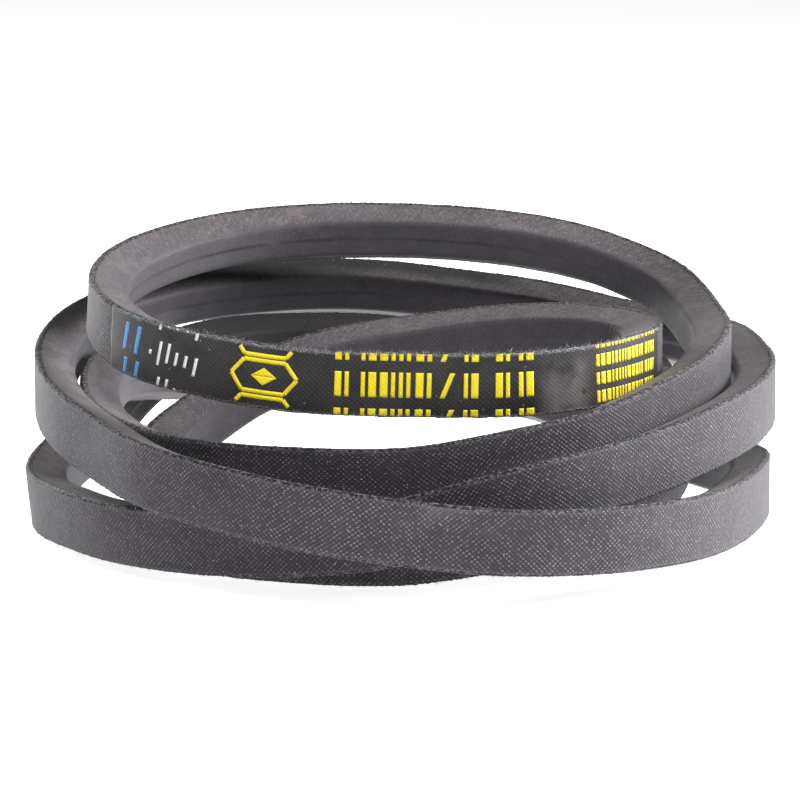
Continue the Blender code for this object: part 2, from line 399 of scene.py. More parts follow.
def surface_noise(s, v, corner, inner, bend):
    """How far the cover stands proud of the plain wedge, in millimetres."""
    height = face_noise(s, v)
    # Threads that cross the worn outer edges, about one to a millimetre, and torn ends.
    phase = s / whole(WEAVE_ALONG) + v / WEAVE_ACROSS
    threads = np.cos(2 * np.pi * phase + 1.4 * rumple(s, v, 5, NOISE_SPAN, 3))
    worn = 0.55 + 0.45 * rumple(s, v, 9, NOISE_SPAN, 4)
    crumbs = rumple(s, v, 0.62, 0.5, 5)
    height = height + corner * worn * (0.09 * threads + 0.16 * np.clip(crumbs, -0.3, 1))
    # Creases across the inner face where the belt bends tightly.
    tight = smooth(0.02, 0.05, bend)
    crease = np.cos(2 * np.pi * s / whole(CREASE_PITCH) + 2.5 * rumple(s, v, 7, 4, 6))
    return height + 0.09 * inner * tight * crease


# ---------------------------------------- mesh making


def signed_volume(points, quads, triangles):
    """The volume that the faces enclose, negative when they face inwards."""
    corners = np.vstack([quads[:, [0, 1, 2]], quads[:, [0, 2, 3]], triangles])
    a, b, c = (points[corners[:, k]] for k in range(3))
    return np.einsum("ij,ij->i", a, np.cross(b, c)).sum() / 6


def new_piece(name, points, quads, material, triangles=(), sharp=None):
    """A closed mesh object from points in millimetres, riding on the belt's one body.

    sharp tells for each point whether the edges between two such points stay unsmoothed.
    """
    points = np.asarray(points, float)
    quads = np.asarray(quads, np.int32).reshape(-1, 4)
    triangles = np.asarray(triangles, np.int32).reshape(-1, 3)
    if signed_volume(points, quads, triangles) < 0:
        quads, triangles = quads[:, ::-1], triangles[:, ::-1]
    corners = np.concatenate([quads.ravel(), triangles.ravel()])
    starts = np.concatenate(
        [4 * np.arange(len(quads)), 4 * len(quads) + 3 * np.arange(len(triangles))]
    )
    mesh = bpy.data.meshes.new(name)
    mesh.vertices.add(len(points))
    mesh.vertices.foreach_set("co", (points * MM).astype(np.float32).ravel())
    mesh.loops.add(len(corners))
    mesh.loops.foreach_set("vertex_index", corners.astype(np.int32))
    mesh.polygons.add(len(starts))
    mesh.polygons.foreach_set("loop_start", starts.astype(np.int32))
    mesh.polygons.foreach_set("use_smooth", np.ones(len(starts), bool))
    mesh.update(calc_edges=True)
    if sharp is not None:
        ends = np.empty(2 * len(mesh.edges), np.int32)
        mesh.edges.foreach_get("vertices", ends)
        marked = sharp[ends.reshape(-1, 2)].all(axis=1)
        mesh.attributes.new("sharp_edge", "BOOLEAN", "EDGE").data.foreach_set("value", marked)
    piece = bpy.data.objects.new(name, mesh)
    bpy.context.scene.collection.objects.link(piece)
    mesh.materials.append(material)
    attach(piece, "root")
    return piece


def write_attribute(piece, name, values):
    made = piece.data.attributes.new(name, "FLOAT_VECTOR", "POINT")
    made.data.foreach_set("vector", np.asarray(values, np.float32).ravel())


def grid_faces(rows, columns, closed):
    """Quads between neighbouring rows of points, which may close round on themselves."""
    i = np.arange(rows - 1)[:, None] * columns
    j = np.arange(columns if closed else columns - 1)[None, :]
    k = (j + 1) % columns
    quads = np.stack([i + j, i + k, i + columns + k, i + columns + j], axis=-1)
    return quads.reshape(-1, 4)


def cover_turn(number, material):
    """One turn of the fabric cover, a closed length of the rounded wedge."""
    first = number * TURN_STATIONS
    index = np.arange(first, first + TURN_STATIONS + 1)
    wrapped = index % len(PLACES)
    columns = len(AROUND)
    shape = (len(index), columns)
    s = np.broadcast_to((index * LENGTH / len(PLACES))[:, None], shape)
    v = np.broadcast_to(AROUND[None, :], shape)
    height = LAP + surface_noise(s, v, CORNER[None, :], INNER[None, :], BEND[wrapped][:, None])
    a = SECTION[None, :, 0] + NORMALS[None, :, 0] * height
    b = SECTION[None, :, 1] + NORMALS[None, :, 1] * height
    points = (
        PLACES[wrapped][:, None, :]
        + OUT[wrapped][:, None, :] * a[..., None]
        + WIDTH[wrapped][:, None, :] * b[..., None]
    )
    # Each end is closed by a fan about the middle of its section.
    middles = points[[0, -1]].mean(axis=1)
    ring = np.arange(columns)
    ahead = (ring + 1) % columns
    last = (len(index) - 1) * columns
    hub = len(index) * columns
    near = np.stack([ahead, ring, np.full(columns, hub)], axis=-1)
    far = np.stack([last + ring, last + ahead, np.full(columns, hub + 1)], axis=-1)
    sharp = np.zeros(hub + 2, bool)
    sharp[:columns] = sharp[last:hub] = True
    piece = new_piece(
        f"cover_fabric_turn_{number + 1}",
        np.vstack([points.reshape(-1, 3), middles]),
        grid_faces(len(index), columns, True),
        material,
        np.vstack([near, far]),
        sharp,
    )
    ends = np.array([[s[0, 0], 0, 0], [s[-1, 0], 0, 0]])
    place = np.stack([s, v, np.zeros(shape)], axis=-1)
    write_attribute(piece, "belt_place", np.vstack([place.reshape(-1, 3), ends]))
    zone = np.stack([np.broadcast_to(z, shape) for z in (OUTER, CORNER, INNER)], axis=-1)
    write_attribute(piece, "belt_zone", np.vstack([zone.reshape(-1, 3), np.zeros((2, 3))]))
    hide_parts("cover_fabric")


# ---------------------------------------- the printed film


def slab(s, w, low, high):
    """A thin closed slab over the outer face: its points, quads and (s, w) places.

    s and w are grids of the same shape; low and high are its underside and its top above the
    cover's own surface.
    """
    rows, columns = s.shape
    cover = face_noise(s, w)
    top = on_outer_face(s, w, cover + high)
    under = on_outer_face(s, w, cover + low)
    count = rows * columns
    upper = grid_faces(rows, columns, False)
    grid = np.arange(count).reshape(rows, columns)
    rim = np.concatenate([grid[0, :-1], grid[:-1, -1], grid[-1, :0:-1], grid[:0:-1, 0]])
    ahead = np.roll(rim, -1)
    walls = np.stack([ahead, rim, rim + count, ahead + count], axis=-1)
    quads = np.vstack([upper, upper[:, ::-1] + count, walls])
    place = np.stack([s.ravel(), w.ravel(), np.zeros(count)], axis=-1)
    return np.vstack([top.reshape(-1, 3), under.reshape(-1, 3)]), quads, np.vstack([place, place])


def bar(start, end, low, high, slant=0.0):
    """The grid of a printed bar, clipped where it would leave the film.

    start and end are along the belt at its lower edge; its upper edge is slant further on.
    """
    bottom, top = max(low, -INK_HALF_WIDTH), min(high, INK_HALF_WIDTH)
    w = np.linspace(bottom, top, max(2, 1 + math.ceil((top - bottom) / PRINT_STEP)))
    across = np.linspace(0, 1, max(2, 1 + math.ceil((end - start) / PRINT_STEP)))
    w_grid, share = np.meshgrid(w, across)
    return start + (end - start) * share + slant * (w_grid - low) / (high - low), w_grid


def stroke(first, second, width):
    """The grid of a straight printed line between two (s, w) points, clipped to the film, or None."""
    first, second = np.array(first, float), np.array(second, float)
    along = (second - first) / np.linalg.norm(second - first)
    side = np.array([-along[1], along[0]]) * width / 2
    count = max(2, 1 + math.ceil(np.linalg.norm(second - first) / PRINT_STEP))
    share = np.linspace(0, 1, count)[:, None]
    line = first + (second - first) * share
    inside = np.abs(line[:, 1]) < INK_HALF_WIDTH - width / 2
    line = line[inside]
    if len(line) < 2:
        return None
    grid = np.stack([line - side, line, line + side], axis=1)
    return grid[..., 0], grid[..., 1]


def blue_marks():
    """Two leaning strokes, in rows up the film."""
    for row in (-1, 0, 1):
        w = 1.5 + ROW_PITCH * row
        for s in (34.6, 38.6):
            if w - 2.9 < INK_HALF_WIDTH and w + 2.9 > -INK_HALF_WIDTH:
                yield bar(s, s + 1.1, w - 2.8, w + 2.8, 0.9)


def white_marks():
    """A short row of leaning bars of unlike height, in rows up the film."""
    for row in (-1, 0, 1):
        for s, low, high in WHITE_BARS:
            low, high = low + 0.1 + ROW_PITCH * row, high + 0.1 + ROW_PITCH * row
            if low < INK_HALF_WIDTH - 0.2 and high > -INK_HALF_WIDTH + 0.2:
                yield bar(s, s + 0.7, low, high, 0.14 * (high - low))


def emblem():
    """An outlined hexagon with a solid diamond in it, in rows up the film."""
    half, tall, flat, line = 6.6, 3.0, 4.2, 0.8
    diamond_half, diamond_tall = 2.6, 1.7
    s = 69.6
    for row in (-1, 0, 1):
        w = ROW_PITCH * row
        ring = [(-half, 0), (-flat, tall), (flat, tall), (half, 0), (flat, -tall), (-flat, -tall)]
        for k, (a, b) in enumerate(ring):
            c, d = ring[(k + 1) % 6]
            grid = stroke((s + a, w + b), (s + c, w + d), line)
            if grid is not None:
                yield grid
        for side in (-1, 1):
            rise = np.linspace(0.02, 1, 5)
            share, up = np.meshgrid(np.linspace(-1, 1, 7), rise, indexing="ij")
            w_grid = w + side * diamond_tall * (1 - up)
            if np.abs(w_grid).max() < INK_HALF_WIDTH:
                yield s + share * diamond_half * up, w_grid


def size_line():
    """Upright bars in groups, with one leaning bar between them, in rows up the film."""
    groups = (
        (83.4, (1.3, 0.8)), (88.4, (0.8, 1.5)), (92.0, (1.5, 0.8)), (95.6, (0.8, 0.8)),
        (98.8, (1.5, 0.9)), (108.0, (0.8, 1.4)), (114.2, (1.4, 0.8)), (118.8, (0.9, 1.5)),
    )
    half, gap = 2.4, 0.62
    for row in (-1, 0, 1):
        low, high = -half + ROW_PITCH * row, half + ROW_PITCH * row
        for start, widths in groups:
            s = start
            for width in widths:
                yield bar(s, s + width, low, high)
                s += width + gap
        yield bar(103.4, 104.4, low, high, 1.9)


def small_rows():
    """Rows of short ticks."""
    draw = np.random.default_rng(SEED + 40)
    first, last, gap, wide_gap = 136.0, 158.0, 0.42, 1.0
    starts = []
    s = first
    while s < last:
        width = draw.choice([0.55, 0.8, 1.15])
        starts.append((s, s + width))
        s += width + (wide_gap if 150.8 < s < 152.2 else gap)
    for row in range(-2, 3):
        low, high = -1.75 + SMALL_PITCH * row, 0.65 + SMALL_PITCH * row
        for start, end in starts:
            if low < INK_HALF_WIDTH - 0.15 and high > -INK_HALF_WIDTH + 0.15:
                yield bar(start, end, low, high)


def print_ink(name, grids, material):
    """One colour of print: thin closed slabs on the film."""
    points, quads, places, count = [], [], [], 0
    for s, w in grids:
        some, faces, place = slab(s, w, FILM_LIFT - INK_SINK, FILM_LIFT + INK_THICKNESS)
        if signed_volume(some, faces, np.zeros((0, 3), int)) < 0:
            faces = faces[:, ::-1]
        points.append(some)
        quads.append(faces + count)
        places.append(place)
        count += len(some)
    piece = new_piece(name, np.vstack(points), np.vstack(quads), material)
    write_attribute(piece, "belt_place", np.vstack(places))


def label(film_finish, inks):
    """The film with its worn rim, and the print on it."""
    rows = round((FILM_END - FILM_START) / FILM_STEP)
    s, w = np.meshgrid(
        np.linspace(FILM_START, FILM_END, rows),
        np.linspace(-FILM_HALF_WIDTH, FILM_HALF_WIDTH, FILM_COLUMNS),
        indexing="ij",
    )
    s = s + 0.25 * rumple(40 * s, w, 9, 1.3, 21)
    w = w * (1 + 0.018 * rumple(s, 3 * w, 1.1, 7, 22))
    points, quads, place = slab(s, w, FILM_LIFT - FILM_THICKNESS, FILM_LIFT)
    film = new_piece("label_film_printed", points, quads, film_finish)
    write_attribute(film, "belt_place", place)
    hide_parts("label_film")
    yellow = [*emblem(), *size_line(), *small_rows()]
    for name, grids in (("yellow", yellow), ("white", white_marks()), ("blue", blue_marks())):
        print_ink(f"label_ink_{name}", grids, inks[name])


# ---------------------------------------- torn fibres


def edge_fibres(material):
    """Short fibre ends that stand out of the two worn outer edges, most along the label's."""
    draw = np.random.default_rng(SEED + 60)
    anywhere = draw.uniform(0, LENGTH, FIBRES)
    s = np.concatenate([anywhere, draw.uniform(FILM_START, FILM_END, LABEL_FIBRES)])
    count = len(s)
    upper = np.concatenate([draw.random(FIBRES) < 0.5, draw.random(LABEL_FIBRES) < 0.8])
    high = np.flatnonzero((CORNER > 0.5) & (SECTION[:, 1] > 0))
    low = np.flatnonzero((CORNER > 0.5) & (SECTION[:, 1] < 0))
    spot = np.where(upper, draw.choice(high, count), draw.choice(low, count))
    (a, b), (na, nb) = SECTION[spot].T, NORMALS[spot].T
    base = on_outer_face(s, b, a)
    normal = on_outer_face(s, b + nb, a + na) - base
    along = on_outer_face(s + 0.5, b, a) - base
    along /= np.linalg.norm(along, axis=1)[:, None]
    side = np.cross(normal, along)
    mixed = (
        normal * draw.uniform(0.1, 0.7, (count, 1))
        + along * draw.uniform(-1, 1, (count, 1))
        + side * draw.uniform(-0.6, 0.6, (count, 1))
    )
    ahead = mixed / np.linalg.norm(mixed, axis=1)[:, None]
    curl = draw.uniform(-0.6, 0.6, (count, 3)) + 0.3 * normal
    length = draw.uniform(*FIBRE_LENGTH, count)[:, None]
    thick = draw.uniform(*FIBRE_THICKNESS, count)[:, None] / 2
    first = np.cross(ahead, normal + 0.3 * along)
    first /= np.linalg.norm(first, axis=1)[:, None]
    second = np.cross(ahead, first)
    rings = []
    for share in np.linspace(0, 1, FIBRE_RINGS):
        middle = base - FIBRE_ROOT * normal + length * (ahead * share + curl * share**2 / 2)
        for angle in (0, 2 * math.pi / 3, 4 * math.pi / 3):
            spoke = first * math.cos(angle) + second * math.sin(angle)
            rings.append(middle + spoke * thick * (1 - 0.6 * share))
    points = np.stack(rings, axis=1)
    each = 3 * FIBRE_RINGS
    start = np.arange(count)[:, None, None] * each
    quads = (grid_faces(FIBRE_RINGS, 3, True)[None] + start).reshape(-1, 4)
    ends = np.array([[2, 1, 0], [each - 3, each - 2, each - 1]])
    triangles = (ends[None] + start).reshape(-1, 3)
    piece = new_piece(
        "cover_edge_fibres", points.reshape(-1, 3), quads, material, triangles
    )
    shade = draw.random(count) ** 1.5
    shade[:FIBRES] *= COVER_FIBRE_SHADE
    shade = np.repeat(shade, each)
    write_attribute(piece, "fibre_shade", np.stack([shade, shade, shade], axis=-1))


# ---------------------------------------- materials


class Shader:
    """A material and short ways to add nodes to it."""

    def __init__(self, name):
        self.material = bpy.data.materials.new(name)
        self.material.use_nodes = True
        self.tree = self.material.node_tree
        self.surface = self.tree.nodes["Principled BSDF"]

    def put(self, socket, value):
        if isinstance(value, bpy.types.NodeSocket):
            self.tree.links.new(value, socket)
        else:
            socket.default_value = value

    def node(self, kind, inputs=None, **settings):
        made = self.tree.nodes.new(kind)
        for key, value in settings.items():
            setattr(made, key, value)
        for key, value in (inputs or {}).items():
            self.put(made.inputs[key], value)
        return made

    def math(self, operation, *values):
        made = self.tree.nodes.new("ShaderNodeMath")
        made.operation = operation
        for socket, value in zip(made.inputs, values):
            self.put(socket, value)
        return made.outputs[0]

    def add(self, *values):
        total = values[0]
        for value in values[1:]:
            total = self.math("ADD", total, value)
        return total

    def times(self, *values):
        total = values[0]
        for value in values[1:]:
            total = self.math("MULTIPLY", total, value)
        return total

    def ramp(self, value, low, high, start=0.0, end=1.0):
        made = self.node(
            "ShaderNodeMapRange", {"From Min": low, "From Max": high, "To Min": start, "To Max": end}
        )
        made.interpolation_type = "SMOOTHSTEP"
        self.put(made.inputs["Value"], value)
        return made.outputs["Result"]

    def attribute(self, name):
        made = self.node("ShaderNodeAttribute", attribute_name=name)
        split = self.node("ShaderNodeSeparateXYZ", {0: made.outputs["Vector"]})
        return split.outputs

    def vector(self, x, y, z=0.0):
        return self.node("ShaderNodeCombineXYZ", {0: x, 1: y, 2: z}).outputs[0]

    def noise(self, vector, scale, detail=2.0, roughness=0.5):
        made = self.node(
            "ShaderNodeTexNoise",
            {"Vector": vector, "Scale": scale, "Detail": detail, "Roughness": roughness},
        )
        return made.outputs["Fac"]

    def white(self, vector):
        return self.node("ShaderNodeTexWhiteNoise", {"Vector": vector}).outputs["Value"]

    def mix(self, share, first, second):
        made = self.node("ShaderNodeMix", data_type="RGBA")
        self.put(made.inputs["Factor"], share)
        self.put(made.inputs[6], first)
        self.put(made.inputs[7], second)
        return made.outputs[2]

    def bump(self, height, distance, strength=1.0):
        made = self.node("ShaderNodeBump", {"Strength": strength, "Distance": distance, "Height": height})
        self.finish("Normal", made.outputs["Normal"])

    def finish(self, name, value):
        """Give the surface's socket of this name a value or a link."""
        self.put(self.surface.inputs[name], value)


def rgb(r, g, b):
    """A linear colour from one given as it looks on a screen, from 0 to 255."""
    channels = [c / 255 for c in (r, g, b)]
    return tuple(c / 12.92 if c <= 0.04045 else ((c + 0.055) / 1.055) ** 2.4 for c in channels) + (1.0,)


def weave(shader, s, v):
    """Bias-cut plain weave: two families of threads that cross the belt's length at a slant.

    Returns the knuckles where threads cross, each of its own strength, the threads that lean
    one way, those that lean the other way, all from 0 to 1, and the place on the belt.
    """
    place = shader.vector(s, v)
    away = shader.times(shader.ramp(s, 0.0, 25.0), shader.ramp(s, LENGTH, LENGTH - 25.0))
    drift = shader.math("SUBTRACT", shader.noise(place, 0.09, 1.0), 0.5)
    sway = shader.math("SUBTRACT", shader.noise(place, 0.13, 1.0), 0.5)
    s = shader.add(s, shader.times(drift, away, 1.0))
    v = shader.add(v, shader.times(sway, away, 0.6))
    along = shader.math("DIVIDE", s, whole(WEAVE_ALONG))
    across = shader.math("DIVIDE", v, WEAVE_ACROSS)
    p, q = shader.add(along, across), shader.math("SUBTRACT", along, across)
    row, column = shader.math("ROUND", p), shader.math("ROUND", q)
    own = shader.white(shader.vector(row, column))
    # Every other knuckle belongs to the other family, and is long its way.
    odd = shader.math("ABSOLUTE", shader.math("MODULO", shader.add(row, column), 2.0))
    fp, fq = shader.math("SUBTRACT", p, row), shader.math("SUBTRACT", q, column)
    fp = shader.times(fp, shader.add(1.0, shader.times(odd, 0.55)))
    fq = shader.times(fq, shader.math("SUBTRACT", 1.55, shader.times(odd, 0.55)))
    reach = shader.math("SQRT", shader.add(shader.times(fp, fp), shader.times(fq, fq)))
    knuckle = shader.times(shader.ramp(reach, 0.5, 0.1), shader.ramp(own, 0.1, 1.0, 0.1, 1.0))
    down = shader.ramp(shader.math("COSINE", shader.times(p, 2 * math.pi)), -0.9, 1.0)
    up = shader.ramp(shader.math("COSINE", shader.times(q, 2 * math.pi)), -0.9, 1.0)
    return knuckle, down, up, place


def lone_specks(shader, place, density, size, share):
    """Single small specks, scattered: 1 on a speck and 0 off it."""
    cells = shader.node(
        "ShaderNodeTexVoronoi",
        {"Vector": place, "Scale": density, "Randomness": 1.0},
        voronoi_dimensions="2D",
    )
    near = shader.ramp(cells.outputs["Distance"], size, 0.4 * size)
    return shader.times(near, shader.ramp(shader.white(cells.outputs["Position"]), 1 - share, 1.02 - share))


def painted_shade_stretch(shader, s, ends):
    """1 along a stretch of painted shade between two distances, fading at both of its ends."""
    low, high = ends
    return shader.times(
        shader.ramp(s, low, low + PAINTED_SHADE_FADE), shader.ramp(s, high, high - PAINTED_SHADE_FADE)
    )


def cover_material():
    """Rubber-coated bias-cut fabric: knuckled outer face, grained flanks, worn edges."""
    shader = Shader("cover_fabric")
    s, v, _ = shader.attribute("belt_place")
    outer, corner, inner = shader.attribute("belt_zone")
    knuckle, down, up, place = weave(shader, s, v)
    slant = shader.ramp(shader.noise(place, 0.05, 1.0), 0.35, 0.65)
    threads = shader.add(shader.times(down, slant), shader.times(up, shader.math("SUBTRACT", 1.0, slant)))
    flank = shader.math("SUBTRACT", shader.math("SUBTRACT", 1.0, outer), inner)
    # Wear differs from place to place, so the weave shows more in one patch than in the next.
    patches = shader.noise(place, 0.035, 3.0)
    scuffs = shader.noise(place, 0.16, 4.0, 0.6)
    fine = shader.noise(place, 2.6, 3.0, 0.6)
    grit = shader.noise(place, 6.0, 2.0, 0.7)
    shown = shader.add(
        shader.times(outer, shader.ramp(patches, 0.3, 0.7, 0.7, 1.1)),
        shader.times(flank, 0.1),
        shader.times(inner, 0.22),
    )
    base = shader.mix(shader.ramp(scuffs, 0.3, 0.75), rgb(*COVER_DARK), rgb(*COVER_PALE))
    base = shader.mix(shader.times(threads, shown, 0.22), base, rgb(84, 79, 87))
    # Pale knuckles of the weave: partly the fabric's own worn colour, partly a painted highlight on each
    # knuckle's crown.
    base = shader.mix(shader.times(knuckle, shown, 0.56), base, rgb(148, 142, 154))
    # Flanks: a fine grain of short strokes that cross them, over soft mottling.
    stroke_place = shader.vector(shader.add(s, shader.times(v, 0.25)), shader.times(v, 0.4))
    strokes = shader.noise(stroke_place, 2.1, 3.0, 0.65)
    counter_place = shader.vector(shader.math("SUBTRACT", s, shader.times(v, 0.7)), shader.times(v, 0.3))
    counter = shader.noise(counter_place, 1.3, 2.0, 0.6)
    grain = shader.add(shader.times(strokes, 0.6), shader.times(counter, 0.4))
    base = shader.mix(shader.times(flank, 0.5), base, rgb(100, 94, 98))
    mottle = shader.ramp(shader.noise(place, 0.13, 5.0, 0.65), 0.46, 0.7)
    base = shader.mix(shader.times(mottle, flank, 0.42), base, rgb(118, 109, 107))
    pale_grain = shader.ramp(grain, 0.48, 0.66, 0.0, 0.5)
    dark_grain = shader.ramp(grain, 0.49, 0.34, 0.0, 0.6)
    base = shader.mix(shader.times(flank, pale_grain), base, rgb(128, 121, 125))
    base = shader.mix(shader.times(flank, dark_grain), base, rgb(48, 45, 48))
    base = shader.mix(shader.times(inner, 0.3), base, rgb(84, 81, 87))
    # Painted shade: the flanks and inner face darkened along the back of the second turn, down in the slot
    # under other turns.
    painted_shade = painted_shade_stretch(shader, s, PAINTED_SHADE_SLOT)
    painted_shade = shader.times(painted_shade, shader.math("SUBTRACT", 0.92, shader.times(outer, 0.92)))
    base = shader.mix(painted_shade, base, rgb(19, 18, 20))
    # Painted shadow: the outer parts of the flanks darkened where this turn lies close under the topmost
    # turn.
    painted_shade = painted_shade_stretch(shader, s, PAINTED_SHADE_FLANKS)
    off_middle = shader.math("ABSOLUTE", v)
    outward = shader.ramp(off_middle, 14.0, 9.0)
    base = shader.mix(shader.times(painted_shade, flank, outward, 0.85), base, rgb(16, 15, 17))
    # Dust that has settled in a few patches.
    dust = shader.times(
        shader.ramp(shader.noise(place, 0.045, 2.0, 0.5), 0.62, 0.74), shader.ramp(grit, 0.42, 0.7)
    )
    base = shader.mix(shader.times(dust, 0.5), base, rgb(150, 145, 150))
    # Torn fibre ends and dark crumbs along the outer edges.
    specks = shader.ramp(shader.noise(place, 3.6, 2.0, 0.75), 0.5, 0.62)
    crumbs = shader.ramp(shader.noise(place, 1.15, 2.0, 0.6), 0.56, 0.5)
    base = shader.mix(shader.times(corner, 0.3), base, rgb(84, 79, 86))
    base = shader.mix(shader.times(corner, specks, 0.6), base, rgb(172, 167, 174))
    edge = shader.times(shader.ramp(off_middle, 5.5, 5.8), shader.ramp(off_middle, 7.6, 7.2))
    base = shader.mix(shader.times(edge, crumbs, 0.97), base, rgb(8, 8, 9))
    # The edge of the lap, along the middle of the inner face.
    behind = shader.math("SUBTRACT", FULL_ROUND / 2, off_middle)
    base = shader.mix(shader.times(inner, shader.ramp(behind, 0.16, 0.04), 0.2), base, rgb(20, 19, 21))
    # Chalk specks, few and small.
    chalk = lone_specks(shader, place, 0.42, 0.05, 0.16)
    chalk = shader.times(chalk, shader.math("SUBTRACT", 0.85, shader.times(inner, 0.6)))
    base = shader.mix(chalk, base, rgb(205, 202, 206))
    shader.finish("Base Color", base)
    plain = shader.math("SUBTRACT", 1.0, shown)
    rough = shader.add(0.66, shader.times(plain, -0.08), shader.times(fine, 0.16))
    shader.finish("Roughness", rough)
    shader.finish("Specular IOR Level", 0.35)
    shader.finish("Sheen Weight", 0.08)
    shader.finish("Sheen Roughness", 0.5)
    height = shader.add(
        shader.times(knuckle, shown, 1.0),
        shader.times(threads, shown, 0.16),
        shader.times(fine, 0.2),
        shader.times(grain, flank, 0.9),
        shader.times(specks, corner, 0.9),
    )
    shader.bump(height, 0.13 * MM, 0.9)
    return shader.material


def film_material():
    """Thin black film, through which the weave shows faintly; its rim has worn to the fabric."""
    shader = Shader("label_film")
    s, w, _ = shader.attribute("belt_place")
    knuckle, threads, _, place = weave(shader, s, w)
    patches = shader.noise(place, 0.12, 3.0)
    grit = shader.noise(place, 5.5, 2.0, 0.7)
    base = shader.mix(shader.ramp(patches, 0.3, 0.7), rgb(*FILM_DARK), rgb(*FILM_PALE))
    ridge = shader.times(threads, shader.ramp(patches, 0.35, 0.65, 0.12, 0.36))
    base = shader.mix(ridge, base, rgb(62, 59, 61))
    base = shader.mix(shader.times(knuckle, 0.14), base, rgb(120, 116, 121))
    # Towards its left end the film is thin, with faint warm spots of ink, then faint gold ones.
    thin = shader.ramp(s, 46.0, 34.0)
    base = shader.mix(shader.times(thin, 0.35), base, rgb(84, 80, 84))
    spots = shader.ramp(grit, 0.58, 0.66)
    base = shader.mix(shader.times(thin, spots, 0.4), base, rgb(132, 92, 72))
    gold = shader.times(
        shader.ramp(shader.noise(place, 2.2, 2.0, 0.6), 0.6, 0.7),
        shader.times(shader.ramp(s, 50.0, 56.0), shader.ramp(s, 64.0, 58.0)),
    )
    base = shader.mix(shader.times(gold, 0.5), base, rgb(96, 92, 40))
    # A grey scuff after the size line.
    rub = shader.times(shader.ramp(s, 121.0, 127.0), shader.ramp(s, 136.0, 130.0), shader.ramp(w, 7.0, 0.0))
    base = shader.mix(shader.times(rub, shader.ramp(patches, 0.3, 0.6), 0.5), base, rgb(132, 127, 126))
    # The worn rim: pale fibre ends with a few specks of ink among them.
    upper = shader.ramp(w, -1.0, 1.0, 0.0, 0.2)
    rim = shader.ramp(shader.add(shader.math("ABSOLUTE", w), grit, upper), 6.05, 6.5)
    fibres = shader.ramp(shader.noise(place, 3.6, 2.0, 0.75), 0.47, 0.6)
    base = shader.mix(shader.times(rim, 0.85), base, rgb(62, 60, 64))
    base = shader.mix(shader.times(rim, fibres, 0.85), base, rgb(172, 172, 180))
    flecks = lone_specks(shader, place, 1.6, 0.22, 0.22)
    near_rim = shader.ramp(shader.math("ABSOLUTE", w), 4.9, 5.8)
    base = shader.mix(shader.times(flecks, near_rim, 0.7), base, rgb(196, 184, 40))
    stray = lone_specks(shader, place, 0.5, 0.07, 0.12)
    base = shader.mix(shader.times(stray, 0.85), base, rgb(210, 198, 60))
    shader.finish("Base Color", base)
    shader.finish("Roughness", shader.add(0.5, shader.times(rim, 0.2)))
    shader.finish("Specular IOR Level", 0.35)
    height = shader.add(
        shader.times(threads, 0.12),
        shader.times(knuckle, 0.3),
        shader.times(grit, 0.12),
        shader.times(fibres, rim),
    )
    shader.bump(height, 0.09 * MM, 0.7)
    return shader.material


def ink_material(name, colour, worn):
    """Screen-printed ink: nearly even, thinner over the threads' hollows, with pinholes."""
    shader = Shader(name)
    s, w, _ = shader.attribute("belt_place")
    _, threads, _, place = weave(shader, s, w)
    patches = shader.noise(place, 0.7, 3.0, 0.6)
    base = shader.mix(shader.ramp(patches, 0.3, 0.75, 0.0, 0.6), colour, worn)
    base = shader.mix(shader.ramp(threads, 0.3, 0.0, 0.0, 0.3), base, worn)
    pinholes = shader.ramp(shader.noise(place, 3.2, 2.0, 0.7), 0.68, 0.74)
    base = shader.mix(shader.times(pinholes, 0.8), base, rgb(60, 56, 40))
    # Ink near the film's rim has partly worn off.
    rim = shader.ramp(shader.math("ABSOLUTE", w), 5.0, 6.1)
    rubbed = shader.ramp(shader.noise(place, 2.4, 3.0, 0.7), 0.44, 0.6)
    base = shader.mix(shader.times(rim, rubbed, 0.75), base, rgb(70, 66, 52))
    shader.finish("Base Color", base)
    shader.finish("Roughness", shader.ramp(patches, 0.0, 1.0, 0.45, 0.65))
    shader.finish("Specular IOR Level", 0.4)
    shader.bump(shader.add(shader.times(threads, 0.5), shader.times(patches, 0.3)), 0.07 * MM, 0.7)
    return shader.material


def fibre_material():
    """Cotton fibre ends, from rubber-black to pale."""
    shader = Shader("fibre_ends")
    shade, _, _ = shader.attribute("fibre_shade")
    place = shader.node("ShaderNodeTexCoord").outputs["Object"]
    stain = shader.noise(place, 1500.0, 2.0)
    paleness = shader.times(shade, shader.ramp(stain, 0.3, 0.6, 0.6, 1.0))
    base = shader.mix(paleness, rgb(46, 43, 47), rgb(196, 192, 198))
    shader.finish("Base Color", base)
    shader.finish("Roughness", shader.ramp(stain, 0.2, 0.8, 0.7, 0.9))
    return shader.material


def rubber_material(name, colour, pale):
    """Moulded rubber with a fine grain and slight bloom."""
    shader = Shader(name)
    place = shader.node("ShaderNodeTexCoord").outputs["Object"]
    grain = shader.noise(place, 900.0, 3.0, 0.6)
    bloom = shader.noise(place, 60.0, 4.0, 0.6)
    base = shader.mix(shader.ramp(bloom, 0.4, 0.7, 0.0, 0.6), colour, pale)
    shader.finish("Base Color", base)
    shader.finish("Roughness", shader.ramp(grain, 0.2, 0.8, 0.55, 0.8))
    shader.bump(grain, 0.05 * MM)
    return shader.material


def cord_material():
    """Twisted polyester: pale strands that wind round the cord."""
    shader = Shader("polyester_cord")
    place = shader.node("ShaderNodeTexCoord").outputs["Object"]
    wave = shader.node(
        "ShaderNodeTexWave",
        {"Vector": place, "Scale": 700.0, "Distortion": 3.0, "Detail": 2.0},
        wave_type="BANDS",
        bands_direction="DIAGONAL",
    ).outputs["Fac"]
    base = shader.mix(wave, rgb(168, 156, 134), rgb(222, 213, 196))
    shader.finish("Base Color", base)
    shader.finish("Roughness", shader.ramp(wave, 0.0, 1.0, 0.85, 0.65))
    shader.bump(wave, 0.1 * MM)
    return shader.material


